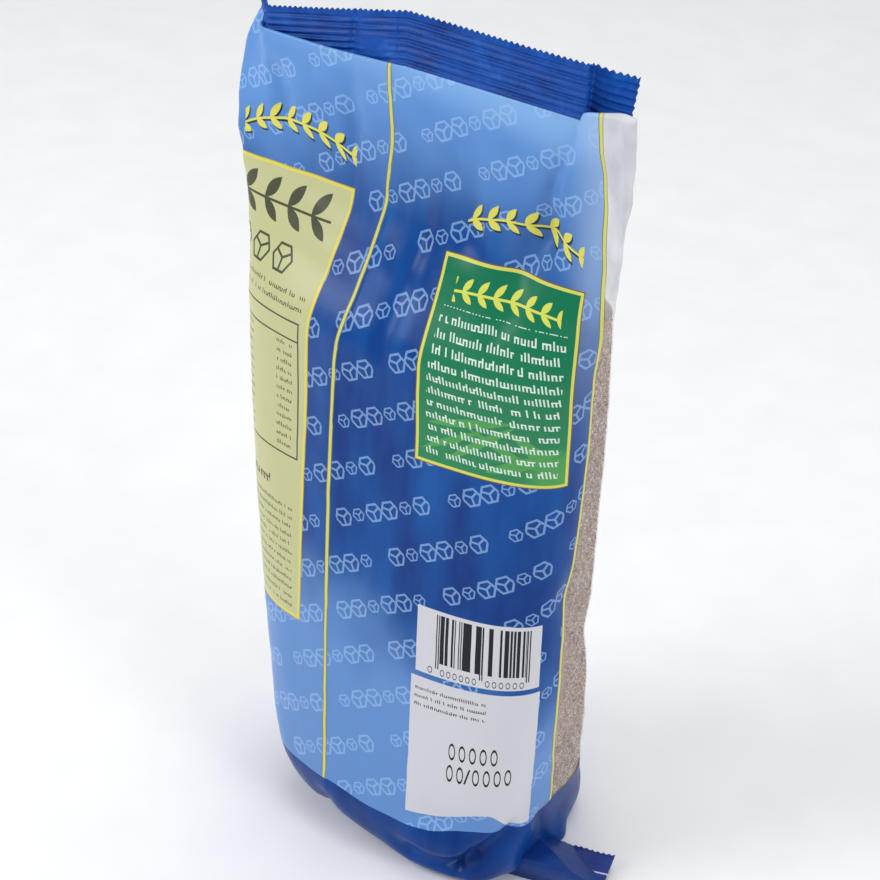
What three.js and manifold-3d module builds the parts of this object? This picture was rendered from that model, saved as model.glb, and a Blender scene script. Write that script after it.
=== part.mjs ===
// A standing pouch of sugar: one tube of printed film, filled, with a crimped seal at the top and a
// second one folded flat under the base. Millimetres, +Z up, the origin on the floor under the middle.
// The back of the pouch, with the lengthwise lap seam, faces -Y, and the seals run along X.

import * as THREE from 'three';
import Module from 'manifold-3d';
import { mergeVertices } from 'three/addons/utils/BufferGeometryUtils.js';

// Driving dimensions
const TUBE_WIDTH = 150;            // flat width of the film tube, so 300 all round
const SEAL_HEIGHT = 275.3;         // where the top crimp starts
const CRIMP_HEIGHT = 18;
const CRIMP_THICKNESS = 1.6;
const CRIMP_RIDGES = 8;
const RIDGE_RELIEF = 0.45;
const RIDGES_FROM = 1.4;
const TIP_TAPER = 1.5;             // the crimp thins to its two ends
const TIP_LEAST = 0.15;
const LEAN = 0.06;                 // the crimp leans to the front, more so beyond the pleat
const PLEAT_LEAN = 0.26;
const DROOP_LEAN = 0.012;
const TOOTH_PITCH = 2;             // zigzag cut of the seal's edge
const TOOTH_HEIGHT = 0.9;
const TOOTH_ROOT = 1.2;            // how far the zigzag band reaches down into the crimp
const TOOTH_STAND = 0.15;          // and how far its valleys stand above it
const TOOTH_THINNER = 0.12;
const SEAM_PLACE = 58;             // film position of the lap seam's edge
const SEAM_STEP = 0.5;
const SEAM_WIDTH = 14;
const FILM_COLUMNS = 100;
const RING_SAMPLES = 720;

// Sections of the filled tube, from the base up: half depths to the back and to the front of the seal
// line, and the power of the rounded outline (2 is an ellipse, more is squarer).
const SECTIONS = [
  { z: 16, width: 101, back: 38.5, front: 39.5, power: 3.1 },
  { z: 68, width: 113, back: 32, front: 32, power: 3.1 },
  { z: 128, width: 120.5, back: 26, front: 28, power: 3.2 },
  { z: 163, width: 124.5, back: 23, front: 28, power: 3.1 },
  { z: 188, width: 127, back: 22, front: 29, power: 2.8 },
  { z: 211, width: 134, back: 10, front: 20.5, power: 2.4 },
  { z: 234, width: 141.5, back: 0.8, front: 9.7, power: 2.2 },
  { z: SEAL_HEIGHT, width: 149, back: 0.8, front: 0.8, power: 2 },
];
const LEVELS = [44, 60, 76, 92, 108, 124, 140, 154, 166, 177, 187, 195, 202, 209, 216, 223, 230, 237, 244,
  251, 258, 265, 271];

// The upper part leans and turns a little against the base.
const TURN_START = 158;
const TOP_TURN = THREE.MathUtils.degToRad(-2.9);
const TOP_SHIFT_Y = -2.1;
const CENTRE_X = [{ z: 0, x: 2.3 }, { z: 128, x: -0.4 }, { z: SEAL_HEIGHT, x: 1.5 }];

// Left end of the top seal, bent back, and the pleat near its right end.
const BEND_PLACE = 18;
const BEND_ANGLE = THREE.MathUtils.degToRad(43);
const BEND_START = 238;
const PLEAT_PLACE = 132;
const PLEAT_SPAN = 6;
const PLEAT_TAKE = 5;              // film taken up sideways by the pleat
const PLEAT_DEPTH = 2;
const PLEAT_DROP = 2.2;            // the crimp beyond the pleat sits lower
const CORNER_OUT = 2.2;            // the film corners stand out beyond the crimp, right and left
const CORNER_LEFT = 2;

// Film that stands in front of the crimp's foot at both ends of the seal.
const DROOP_PLACE = 69;
const DROOP_RATE = 0.2;            // the left third of the crimp sinks behind the film
const CREST_FORWARD = 2.6;
const CREST_FROM = 250;            // the film below the crest starts to stand forward here
const CREST_FULL = 5;              // rise of the crest at which it stands fully forward
const CREST_LEFT = 2;              // the outermost film at the left end stays behind the crimp
const RIGHT_CREST = [{ u: 131, rise: 0 }, { u: 133, rise: 3.4 }, { u: 138, rise: 5 }, { u: 144, rise: 6.8 },
  { u: 147, rise: 7.6 }, { u: 150, rise: 7 }];
const CREST_ROWS = [
  { height: 0.4, rise: 1, out: 1, pleated: 0.1 },
  { height: 0.8, rise: 0.45, out: 0.5, pleated: 0.6 },
];

// Foot of the pouch: rounding radius by film position, and the folded seal strip with its free ear.
const FOOT_RADIUS = [{ u: 0, r: 26 }, { u: 34, r: 28 }, { u: 58, r: 24 }, { u: 78, r: 16 }, { u: 100, r: 8 },
  { u: 130, r: 8 }, { u: 152, r: 8 }, { u: 172, r: 9 }, { u: 205, r: 12 }, { u: 260, r: 14 },
  { u: 300, r: 26 }];
const FOOT_STEPS = 5;
const STRIP_WIDTH = 17.5;
const STRIP_THICKNESS = 1.2;
const EAR_TIP = [75, 4.6];         // outer end of the ear's cut edge
const EAR_LENGTH = 40;             // of which about half lies under the base
const EAR_TURN = THREE.MathUtils.degToRad(12);
const EAR_RISE = 4.2;
const EAR_SPRING = [0.75, 0.25];   // shares of its length between which it leaves the floor

// Soft grooves pressed into the film, from one film place to another: u across, z up. A negative depth
// is a bulge.
const CREASES = [
  { from: [50, 270], to: [48, 246], reach: 3.5, depth: 1.6 },
  { from: [132, 275], to: [123, 252], reach: 3, depth: 1.8 },
  { from: [122, 248], to: [122, 236], reach: 5, depth: 2.6 },
  { from: [122, 236], to: [114, 222], reach: 6, depth: 2.4 },
  { from: [96, 246], to: [94, 226], reach: 4, depth: 1 },
  { from: [79, 226], to: [74, 190], reach: 3.5, depth: 1 },
  { from: [145, 112], to: [153, 98], reach: 7, depth: 1.8 },
  { from: [166, 86], to: [176, 78], reach: 9, depth: 1.8 },
  { from: [128, 25], to: [108, 9], reach: 4.5, depth: 4 },
  { from: [100, 26], to: [114, 26], reach: 6, depth: 1.4 },
  { from: [18, 270], to: [21, 252], reach: 4, depth: 1.5 },
  { from: [53, 0], to: [55, 14], reach: 4, depth: 2.5 },
  { from: [151, 277], to: [151, 268], reach: 7, depth: -1.9 },
  { from: [151, 256], to: [151, 248], reach: 6, depth: -0.9 },
  { from: [0, 273], to: [0, 269], reach: 5, depth: -1.5 },
  { from: [300, 273], to: [300, 269], reach: 5, depth: -1.5 },
  { from: [153, 0], to: [153, 2], reach: 5.5, depth: -4 },
];

const TUBE_ROUND = 2 * TUBE_WIDTH;

// The finished pouch is set down with the middle of its outline on the origin.
const SET_DOWN = [-3.8, -0.5, 0];

// Smooth curve through named stations that never overshoots them.
function along(stations, key, value, place = 'z') {
  const last = stations.length - 1;
  const at = THREE.MathUtils.clamp(value, stations[0][place], stations[last][place]);
  let k = 0;
  while (k < last - 1 && at > stations[k + 1][place]) k += 1;
  const slope = (i) => (stations[i + 1][key] - stations[i][key]) / (stations[i + 1][place] - stations[i][place]);
  const tangent = (i) => {
    if (i === 0) return slope(0);
    if (i === last) return slope(last - 1);
    const before = slope(i - 1);
    const after = slope(i);
    return before * after > 0 ? (2 * before * after) / (before + after) : 0;
  };
  const span = stations[k + 1][place] - stations[k][place];
  const t = (at - stations[k][place]) / span;
  const t2 = t * t;
  const t3 = t2 * t;
  return (2 * t3 - 3 * t2 + 1) * stations[k][key] + (t3 - 2 * t2 + t) * span * tangent(k)
    + (3 * t2 - 2 * t3) * stations[k + 1][key] + (t3 - t2) * span * tangent(k + 1);
}

const smooth = (a, b, x) => THREE.MathUtils.smoothstep(x, a, b);

// One level ring of the tube as x, y places at equal film steps. Film position 0 is the left edge,
// 75 the middle of the back, 150 the right edge and 225 the middle of the front.
function ring(z) {
  const shape = Object.fromEntries(['width', 'back', 'front', 'power'].map((key) => [key, along(SECTIONS, key, z)]));
  const points = [];
  const run = [0];
  for (let i = 0; i <= RING_SAMPLES; i += 1) {
    const angle = Math.PI + (2 * Math.PI * i) / RING_SAMPLES;
    const c = Math.cos(angle);
    const s = Math.sin(angle);
    const depth = s < 0 ? shape.back : shape.front;
    const x = (shape.width / 2) * Math.sign(c) * Math.abs(c) ** (2 / shape.power);
    const y = depth * Math.sign(s) * Math.abs(s) ** (2 / shape.power);
    points.push([x, y]);
    if (i > 0) run.push(run[i - 1] + Math.hypot(x - points[i - 1][0], y - points[i - 1][1]));
  }
  const total = run[RING_SAMPLES];
  const middle = run[RING_SAMPLES / 4];
  return (u) => {
    const wanted = THREE.MathUtils.euclideanModulo(middle + ((u - TUBE_WIDTH / 2) * total) / TUBE_ROUND, total);
    let i = 1;
    while (i < RING_SAMPLES && run[i] < wanted) i += 1;
    const t = (wanted - run[i - 1]) / (run[i] - run[i - 1]);
    return [0, 1].map((n) => THREE.MathUtils.lerp(points[i - 1][n], points[i][n], t));
  };
}

// Bend, pleat, turn and lean of the upper part, applied to a place at height z. The pleat is full in the
// crimp and open in the film below it.
function settle(x, y, z, pleated = 0) {
  const bendFrom = BEND_PLACE - TUBE_WIDTH / 2;
  const rise = THREE.MathUtils.clamp((z - BEND_START) / (SEAL_HEIGHT - BEND_START), 0, 1);
  const bend = BEND_ANGLE * rise * rise * smooth(0, 5, bendFrom - x);
  const dx = Math.min(x - bendFrom, 0);
  const bentX = x < bendFrom ? bendFrom + dx * Math.cos(bend) + y * Math.sin(bend) : x;
  const bentY = x < bendFrom ? -dx * Math.sin(bend) + y * Math.cos(bend) : y;
  const crease = PLEAT_PLACE - TUBE_WIDTH / 2;
  const fold = pleated * smooth(crease, crease + PLEAT_SPAN, bentX);
  const foldedX = bentX - PLEAT_TAKE * fold;
  const foldedY = bentY + PLEAT_DEPTH * fold;
  const t = THREE.MathUtils.clamp((z - TURN_START) / (SEAL_HEIGHT - TURN_START), 0, 1);
  const c = Math.cos(TOP_TURN * t);
  const s = Math.sin(TOP_TURN * t);
  const shift = TOP_SHIFT_Y * smooth(TURN_START, SEAL_HEIGHT, z);
  return [along(CENTRE_X, 'x', z) + c * foldedX - s * foldedY, shift + s * foldedX + c * foldedY];
}

// Depth of the pressed grooves at a film place.
function grooves(u, z) {
  let depth = 0;
  for (const crease of CREASES) {
    const [u0, z0] = crease.from;
    const du = crease.to[0] - u0;
    const dz = crease.to[1] - z0;
    const t = THREE.MathUtils.clamp(((u - u0) * du + (z - z0) * dz) / (du * du + dz * dz), 0, 1);
    const away = Math.hypot(u - u0 - t * du, z - z0 - t * dz);
    depth += crease.depth * Math.exp(-((away / crease.reach) ** 2));
  }
  return depth;
}

// How far the crimp's foot has sunk, and how far the film in front of it stands up and out.
const droop = (u) => DROOP_RATE * (DROOP_PLACE - THREE.MathUtils.clamp(u, BEND_PLACE, DROOP_PLACE));
const rightRise = (u) => along(RIGHT_CREST, 'rise', u, 'u');
const hidden = (u) => Math.min((droop(u) + rightRise(u)) / CREST_FULL, 1) * smooth(CREST_LEFT, BEND_PLACE, u);

// Film position of the flat seal that a column of the round tube ends on.
const sealPlace = (u) => (u <= TUBE_WIDTH ? u : TUBE_ROUND - u);

// Columns are spread evenly, but two of them stand close together on both sides of the lap seam.
const SEAM_COLUMN = Math.floor((SEAM_PLACE * FILM_COLUMNS) / TUBE_ROUND);
function position(j) {
  if (j === SEAM_COLUMN) return SEAM_PLACE - SEAM_STEP / 2;
  if (j === SEAM_COLUMN + 1) return SEAM_PLACE + SEAM_STEP / 2;
  return (TUBE_ROUND * j) / FILM_COLUMNS;
}

// The upper layer of the lap seam stands out at its edge and fades away to the left of it.
function lap(u) {
  const away = SEAM_PLACE - u;
  return away > 0 && away < SEAM_WIDTH ? SEAM_STEP * (1 - away / SEAM_WIDTH) : 0;
}

function bodyRows() {
  const inward = (points, j) => {
    const a = points[(j + FILM_COLUMNS - 1) % FILM_COLUMNS];
    const b = points[(j + 1) % FILM_COLUMNS];
    const long = Math.hypot(b[0] - a[0], b[1] - a[1]) || 1;
    return [-(b[1] - a[1]) / long, (b[0] - a[0]) / long];
  };
  const flat = (z) => {
    const place = ring(z);
    return Array.from({ length: FILM_COLUMNS }, (_, j) => place(position(j)));
  };
  const rows = [];
  const base = flat(SECTIONS[0].z);
  for (let k = 0; k <= FOOT_STEPS; k += 1) {
    const angle = (Math.PI / 2) * (1 - k / FOOT_STEPS);
    rows.push(base.map((point, j) => {
      const r = along(FOOT_RADIUS, 'r', position(j), 'u');
      const z = r * (1 - Math.sin(angle));
      const inset = r * (1 - Math.cos(angle)) + (k > 0 ? grooves(position(j), z) : 0);
      const wall = z > SECTIONS[0].z ? ring(z)(position(j)) : point;
      const normal = inward(base, j);
      return [...settle(wall[0] + normal[0] * inset, wall[1] + normal[1] * inset, z), z];
    }));
  }
  for (const level of LEVELS) {
    const points = flat(level);
    rows.push(points.map((point, j) => {
      const u = position(j);
      const normal = inward(points, j);
      const proud = u <= TUBE_WIDTH ? CREST_FORWARD * hidden(u) * smooth(CREST_FROM, SEAL_HEIGHT, level) : 0;
      const inset = grooves(u, level) - lap(u);
      const stretch = THREE.MathUtils.clamp((level - BEND_START) / (SEAL_HEIGHT - BEND_START), 0, 1);
      const back = u <= TUBE_WIDTH;
      const lift = back ? rightRise(u) : -droop(sealPlace(u));
      const y = point[1] + normal[1] * inset - proud;
      const place = settle(point[0] + normal[0] * inset, y, level);
      return [...place, level + lift * stretch];
    }));
  }
  return rows;
}

// Rows of the seal: the film's crest in front of the crimp, the crimp's foot, then its ridged faces.
function sealRows() {
  const rows = [];
  const strip = (u, height, thickness, forward, pleated) => {
    const back = u <= TUBE_WIDTH;
    const place = sealPlace(u);
    const sunk = PLEAT_DROP * pleated * smooth(PLEAT_PLACE, PLEAT_PLACE + 2 * PLEAT_SPAN, place);
    const foot = SEAL_HEIGHT - droop(place) - sunk;
    const lean = LEAN + PLEAT_LEAN * smooth(PLEAT_PLACE, TUBE_WIDTH, place) - DROOP_LEAN * droop(place);
    const tip = Math.min(place, TUBE_WIDTH - place, TIP_TAPER) / TIP_TAPER;
    const side = (back ? -1 : 1) * (thickness / 2) * Math.max(tip, TIP_LEAST);
    const right = CORNER_OUT * smooth(TUBE_WIDTH - PLEAT_SPAN, TUBE_WIDTH, place);
    const left = CORNER_LEFT * (1 - smooth(0, PLEAT_SPAN, place));
    const x = place - TUBE_WIDTH / 2 + (right - left) * (1 - pleated);
    const offset = side - (back ? forward : 0) + Math.sin(lean) * height;
    return [...settle(x, offset, SEAL_HEIGHT, pleated), foot + Math.cos(lean) * height];
  };
  const columns = Array.from({ length: FILM_COLUMNS }, (_, j) => position(j));
  for (const { height, rise, out, pleated } of CREST_ROWS) {
    rows.push(columns.map((u) => {
      const lift = u <= TUBE_WIDTH ? rise * (droop(u) + rightRise(u)) : 0;
      const forward = out * CREST_FORWARD * hidden(sealPlace(u));
      const point = strip(u, height, CRIMP_THICKNESS, forward, pleated);
      return [point[0], point[1], point[2] + lift];
    }));
  }
  const bands = 2 * CRIMP_RIDGES;
  for (let k = 0; k <= bands; k += 1) {
    const height = RIDGES_FROM + ((CRIMP_HEIGHT - TOOTH_HEIGHT - RIDGES_FROM) * k) / bands;
    const thickness = CRIMP_THICKNESS + (k % 2 ? RIDGE_RELIEF : -RIDGE_RELIEF);
    rows.push(columns.map((u) => strip(u, height, thickness, 0, 1)));
  }
  return rows;
}

// A closed solid from rows of points that run round the tube, capped at both ends.
function loftSolid(rows) {
  const count = rows[0].length;
  const positions = rows.flat(2);
  const middle = (row) => [0, 1, 2].map((n) => row.reduce((sum, point) => sum + point[n], 0) / row.length);
  const bottomIndex = rows.length * count;
  positions.push(...middle(rows[0]));
  const index = [];
  for (let k = 0; k < rows.length - 1; k += 1) {
    for (let j = 0; j < count; j += 1) {
      const next = (j + 1) % count;
      const a = k * count + j;
      const b = k * count + next;
      index.push(a, b, b + count, a, b + count, a + count);
    }
  }
  for (let j = 0; j < count; j += 1) index.push(bottomIndex, (j + 1) % count, j);
  const top = (rows.length - 1) * count;
  for (let j = 1; j < count / 2; j += 1) {
    const back = top + j;
    const front = top + (count - j);
    const backNext = top + j + 1;
    const frontNext = top + (count - j - 1);
    if (j === 1) index.push(top, back, front);
    if (backNext === frontNext) index.push(back, backNext, front);
    else index.push(back, backNext, frontNext, back, frontNext, front);
  }
  const geometry = new THREE.BufferGeometry();
  geometry.setAttribute('position', new THREE.Float32BufferAttribute(positions, 3));
  geometry.setIndex(index);
  return geometry;
}

// Zigzag cut edge of the top crimp, a thin band that starts inside the crimp.
function toothBand(topRow) {
  const half = topRow.length / 2;
  const centre = (j) => {
    const back = topRow[Math.min(j, half)];
    const front = topRow[(topRow.length - Math.min(j, half)) % topRow.length];
    return [0, 1, 2].map((n) => (back[n] + front[n]) / 2);
  };
  const steps = Math.round((2 * TUBE_WIDTH) / TOOTH_PITCH);
  const start = 1;
  const rows = [-TOOTH_ROOT, 0].map((rise) => {
    const line = [];
    for (let i = start; i <= steps - start; i += 1) {
      const at = (half * i) / steps;
      const j = Math.floor(at);
      const a = centre(j);
      const b = centre(Math.min(j + 1, half));
      const point = [0, 1, 2].map((n) => THREE.MathUtils.lerp(a[n], b[n], at - j));
      const tooth = rise < 0 ? rise : TOOTH_HEIGHT * (i % 2) + TOOTH_STAND;
      line.push([point[0], point[1], point[2] + tooth]);
    }
    return line;
  });
  const halfThick = (CRIMP_THICKNESS - RIDGE_RELIEF) / 2 - TOOTH_THINNER;
  const count = rows[0].length;
  const positions = [];
  for (const side of [-halfThick, halfThick]) {
    for (const line of rows) {
      for (const point of line) positions.push(point[0], point[1] + side, point[2]);
    }
  }
  const at = (side, row, i) => (side * 2 + row) * count + i;
  const index = [];
  const quad = (a, b, c, d) => index.push(a, b, c, a, c, d);
  for (let i = 0; i < count - 1; i += 1) {
    quad(at(0, 0, i), at(0, 0, i + 1), at(0, 1, i + 1), at(0, 1, i));
    quad(at(1, 0, i + 1), at(1, 0, i), at(1, 1, i), at(1, 1, i + 1));
    quad(at(0, 1, i), at(0, 1, i + 1), at(1, 1, i + 1), at(1, 1, i));
    quad(at(0, 0, i + 1), at(0, 0, i), at(1, 0, i), at(1, 0, i + 1));
  }
  quad(at(0, 0, 0), at(0, 1, 0), at(1, 1, 0), at(1, 0, 0));
  const end = count - 1;
  quad(at(0, 0, end), at(1, 0, end), at(1, 1, end), at(0, 1, end));
  const geometry = new THREE.BufferGeometry();
  geometry.setAttribute('position', new THREE.Float32BufferAttribute(positions, 3));
  geometry.setIndex(index);
  return geometry;
}

// The right end of the folded bottom seal: a thin strip that leaves the base and springs up a little,
// with its zigzag cut edge towards the front.
function earStrip() {
  const outline = new THREE.Shape();
  outline.moveTo(-EAR_LENGTH, -STRIP_WIDTH);
  outline.lineTo(0, -STRIP_WIDTH);
  const half = TOOTH_PITCH / 2;
  for (let i = 0; i * half <= EAR_LENGTH; i += 1) outline.lineTo(-i * half, i % 2 ? 0 : -TOOTH_HEIGHT);
  outline.closePath();
  const geometry = new THREE.ExtrudeGeometry(outline, { depth: STRIP_THICKNESS, bevelEnabled: false });
  const places = geometry.getAttribute('position');
  for (let i = 0; i < places.count; i += 1) {
    const out = smooth(-EAR_SPRING[0] * EAR_LENGTH, -EAR_SPRING[1] * EAR_LENGTH, places.getX(i));
    const across = 1 + places.getY(i) / STRIP_WIDTH;
    places.setZ(i, places.getZ(i) + EAR_RISE * out * across);
  }
  geometry.rotateZ(EAR_TURN);
  geometry.translate(...EAR_TIP, 0);
  return geometry;
}

const wasm = await Module();
wasm.setup();

function toManifold(geometry) {
  const bare = geometry.clone();
  bare.deleteAttribute('normal');
  bare.deleteAttribute('uv');
  const merged = mergeVertices(bare, 1e-4);
  return new wasm.Manifold(new wasm.Mesh({
    numProp: 3,
    vertProperties: new Float32Array(merged.getAttribute('position').array),
    triVerts: new Uint32Array(merged.index.array),
  }));
}

function toGeometry(solid) {
  const mesh = solid.getMesh();
  const geometry = new THREE.BufferGeometry();
  geometry.setAttribute('position', new THREE.BufferAttribute(new Float32Array(mesh.vertProperties), 3));
  geometry.setIndex(new THREE.BufferAttribute(new Uint32Array(mesh.triVerts), 1));
  geometry.computeVertexNormals();
  return geometry;
}

function pouch() {
  const seal = sealRows();
  const body = toManifold(loftSolid([...bodyRows(), ...seal]));
  const teeth = toManifold(toothBand(seal[seal.length - 1]));
  const ear = toManifold(earStrip());
  const material = new THREE.MeshStandardMaterial({ color: 0x2b62b5, roughness: 0.35, metalness: 0 });
  const geometry = toGeometry(body.add(teeth).add(ear));
  geometry.translate(...SET_DOWN);
  const mesh = new THREE.Mesh(geometry, material);
  mesh.name = 'pouch';
  return mesh;
}

const group = new THREE.Group();
group.add(pouch());

export default group;
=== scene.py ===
import math
import bmesh
import bpy
import numpy as np
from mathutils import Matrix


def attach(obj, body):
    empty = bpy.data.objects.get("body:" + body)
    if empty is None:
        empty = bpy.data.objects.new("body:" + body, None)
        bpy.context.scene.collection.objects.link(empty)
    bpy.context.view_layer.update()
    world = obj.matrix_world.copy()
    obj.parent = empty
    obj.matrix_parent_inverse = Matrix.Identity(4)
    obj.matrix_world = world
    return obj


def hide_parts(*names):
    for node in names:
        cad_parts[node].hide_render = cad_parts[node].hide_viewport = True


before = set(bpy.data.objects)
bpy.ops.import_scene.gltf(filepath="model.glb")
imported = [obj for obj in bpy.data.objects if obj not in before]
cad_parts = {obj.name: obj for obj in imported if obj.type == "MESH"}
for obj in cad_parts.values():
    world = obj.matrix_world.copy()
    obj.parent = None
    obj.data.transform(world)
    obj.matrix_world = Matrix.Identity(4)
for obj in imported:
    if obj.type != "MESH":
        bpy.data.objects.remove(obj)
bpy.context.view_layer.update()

# The stand the pouch is looked at on: a plain pale floor, large soft lights round it, and a camera where
# the photographer stood, a little above the pouch and to the right of its back.
scene = bpy.context.scene
scene.view_settings.view_transform = "Standard"
CAMERA_PLACE = (0.3713, -0.5470, 0.5687)
CAMERA_TURN = 34.0
CAMERA_DIP = 32.46
LENS = 100.22
SENSOR = 36.0

camera_data = bpy.data.cameras.new("camera")
camera_data.lens = LENS
camera_data.sensor_width = SENSOR
camera = bpy.data.objects.new("camera", camera_data)
camera.location = CAMERA_PLACE
camera.rotation_euler = (math.radians(90 - CAMERA_DIP), 0, math.radians(CAMERA_TURN))
scene.collection.objects.link(camera)
scene.camera = camera

POUCH_MIDDLE = (0, 0, 0.15)


def soft_light(name, place, size, watts):
    """A round soft box that looks at the pouch's middle."""
    lamp = bpy.data.lights.new(name, "AREA")
    lamp.shape = "DISK"
    lamp.size = size
    lamp.energy = watts
    stand = bpy.data.objects.new(name, lamp)
    stand.location = place
    way = np.array(POUCH_MIDDLE) - np.array(place)
    flat = math.hypot(way[0], way[1])
    stand.rotation_euler = (math.atan2(flat, -way[2]), 0, math.atan2(way[1], way[0]) - math.pi / 2)
    scene.collection.objects.link(stand)


soft_light("left box", place=(-0.9, -0.8, 0.9), size=0.8, watts=10)
soft_light("right box", place=(1.3, -0.3, 0.7), size=0.7, watts=6.5)
soft_light("top box", place=(0.0, 0.3, 1.6), size=1.2, watts=9)

SKY_COLOUR = (0.95, 0.97, 1.0, 1)
SKY_STRENGTH = 0.42
sky = bpy.data.worlds.new("studio")
sky.use_nodes = True
sky.node_tree.nodes["Background"].inputs["Color"].default_value = SKY_COLOUR
sky.node_tree.nodes["Background"].inputs["Strength"].default_value = SKY_STRENGTH
scene.world = sky


def ink(red, green, blue):
    """A colour as screens give it, from 0 to 255, turned into light."""
    linear = [((c / 255 + 0.055) / 1.055) ** 2.4 if c > 10 else c / 255 / 12.92 for c in (red, green, blue)]
    return (*linear, 1.0)


class Mark:
    """A value that varies over a surface: a sum written with it adds its nodes to the material."""

    known = {}

    def __init__(self, tree, socket):
        self.tree = tree
        self.socket = socket
        self.label = f"{socket.node.name} {socket.identifier}" if socket else "start"

    def add(self, kind, values, out=0, stops=None, **settings):
        terms = [(key, value.label if isinstance(value, Mark) else value) for key, value in values.items()]
        recipe = str((kind, terms, out, stops, settings))
        if recipe not in Mark.known:
            Mark.known[recipe] = self.fresh(kind, values, out, stops, settings)
        return Mark.known[recipe]

    def fresh(self, kind, values, out, stops, settings):
        made = self.tree.nodes.new(kind)
        for name, setting in settings.items():
            setattr(made, name, setting)
        if stops:
            elements = made.color_ramp.elements
            elements.remove(elements[1])
            elements[0].position, elements[0].color = stops[0]
            for place, colour in stops[1:]:
                elements.new(place).color = colour
        for key, value in values.items():
            if isinstance(value, Mark):
                self.tree.links.new(value.socket, made.inputs[key])
            else:
                made.inputs[key].default_value = value
        return Mark(self.tree, made.outputs[out])

    def maths(self, operation, *terms):
        return self.add("ShaderNodeMath", dict(enumerate(terms)), operation=operation)

    def __add__(self, other):
        return self.maths("ADD", self, other)

    def __sub__(self, other):
        return self.maths("SUBTRACT", self, other)

    def __rsub__(self, other):
        return self.maths("SUBTRACT", other, self)

    def __mul__(self, other):
        return self.maths("MULTIPLY", self, other)

    def __truediv__(self, other):
        return self.maths("DIVIDE", self, other)

    def __abs__(self):
        return self.maths("ABSOLUTE", self)

    def __mod__(self, size):
        return self.maths("FLOORED_MODULO", self, size)

    def __gt__(self, other):
        return self.maths("GREATER_THAN", self, other)

    def __lt__(self, other):
        return self.maths("LESS_THAN", self, other)

    __radd__ = __add__
    __rmul__ = __mul__

    def floor(self):
        return self.maths("FLOOR", self)

    def most(self, other):
        return self.maths("MAXIMUM", self, other)

    def ramp(self, low, high):
        values = {"Value": self, "From Min": low, "From Max": high}
        return self.add("ShaderNodeMapRange", values, interpolation_type="SMOOTHSTEP")

    def over(self, under, colour):
        values = {0: self, 6: under, 7: colour}
        return self.add("ShaderNodeMix", values, out=2, data_type="RGBA")

    def shades(self, stops):
        return self.add("ShaderNodeValToRGB", {"Fac": self}, stops=stops)

    def mottled(self, low, high):
        return self.shades([(0.3, low), (0.7, high)])

    def stretched(self, across, up):
        return self.add("ShaderNodeMapping", {"Vector": self, "Scale": (across, up, 1.0)})

    def parts(self):
        split = self.add("ShaderNodeSeparateXYZ", {"Vector": self})
        return split, Mark(self.tree, split.socket.node.outputs[1])

    def noise(self, vector, scale, detail=2.0, roughness=0.5):
        values = {"Vector": vector, "Scale": scale, "Detail": detail, "Roughness": roughness}
        return self.add("ShaderNodeTexNoise", values)

    def chance(self):
        return self.add("ShaderNodeTexWhiteNoise", {"W": self}, noise_dimensions="1D")

    def place(self):
        return self.add("ShaderNodeTexCoord", {}, out=3)

    def chart(self, label):
        return self.add("ShaderNodeUVMap", {}, uv_map=label)


def fresh_material(name, **constants):
    """A material, its shader, and the mark from which its nodes are written."""
    material = bpy.data.materials.new(name)
    material.use_nodes = True
    shader = material.node_tree.nodes["Principled BSDF"]
    for socket, value in constants.items():
        shader.inputs[socket.replace("_", " ")].default_value = value
    Mark.known.clear()
    start = Mark(material.node_tree, None)
    return material, shader, start


def wire(shader, socket, mark):
    mark.tree.links.new(mark.socket, shader.inputs[socket])


def bump(start, height, distance, strength):
    return start.add("ShaderNodeBump", {"Height": height, "Distance": distance, "Strength": strength})


FLOOR_REACH = 3.0
floor_corners = [(x * FLOOR_REACH, y * FLOOR_REACH, 0) for x, y in ((-1, -1), (1, -1), (1, 1), (-1, 1))]
floor_mesh = bpy.data.meshes.new("floor")
floor_mesh.from_pydata(floor_corners, [], [(0, 1, 2, 3)])
floor = bpy.data.objects.new("floor", floor_mesh)
scene.collection.objects.link(floor)
paper, paper_shader, start = fresh_material("white paper", Roughness=0.8)
grain = start.noise(start.place(), 40.0)
wire(paper_shader, "Base Color", grain.mottled(ink(248, 248, 249), ink(252, 252, 252)))
floor_mesh.materials.append(paper)

# The film is one sheet rolled into a tube, lapped and sealed down the back, filled and shut. Its places
# are given as u, round the tube from the left edge over the back to the front, and z, up the tube, both in
# millimetres.
MM = 0.001
TUBE_ROUND = 300.0
HALF_ROUND = TUBE_ROUND / 2
SEAL_HEIGHT = 275.3
SET_DOWN = (-3.8, -0.5)
SECTION_Z = (16, 68, 128, 163, 188, 211, 234, SEAL_HEIGHT)
SECTION_WIDTH = (101, 113, 120.5, 124.5, 127, 134, 141.5, 149)
SECTION_BACK = (38.5, 32, 26, 23, 22, 10, 0.8, 0.8)
SECTION_FRONT = (39.5, 32, 28, 28, 29, 20.5, 9.7, 0.8)
SECTION_POWER = (3.1, 3.1, 3.2, 3.1, 2.8, 2.4, 2.2, 2)
FOOT_U = (0, 34, 58, 78, 100, 130, 152, 172, 205, 260, 300)
FOOT_RADIUS = (26, 28, 24, 16, 8, 8, 8, 9, 12, 14, 26)
SEAM_Z = (0, 92, 148, 179, 198, 211, 233, 253, 275)
SEAM_U = (58.5, 57, 56.8, 58, 60.2, 61, 63, 65, 64.6)
SEAM_STEP = 0.35
SEAM_WIDTH = 14.0
OUTLINE_STEPS = 720


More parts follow.
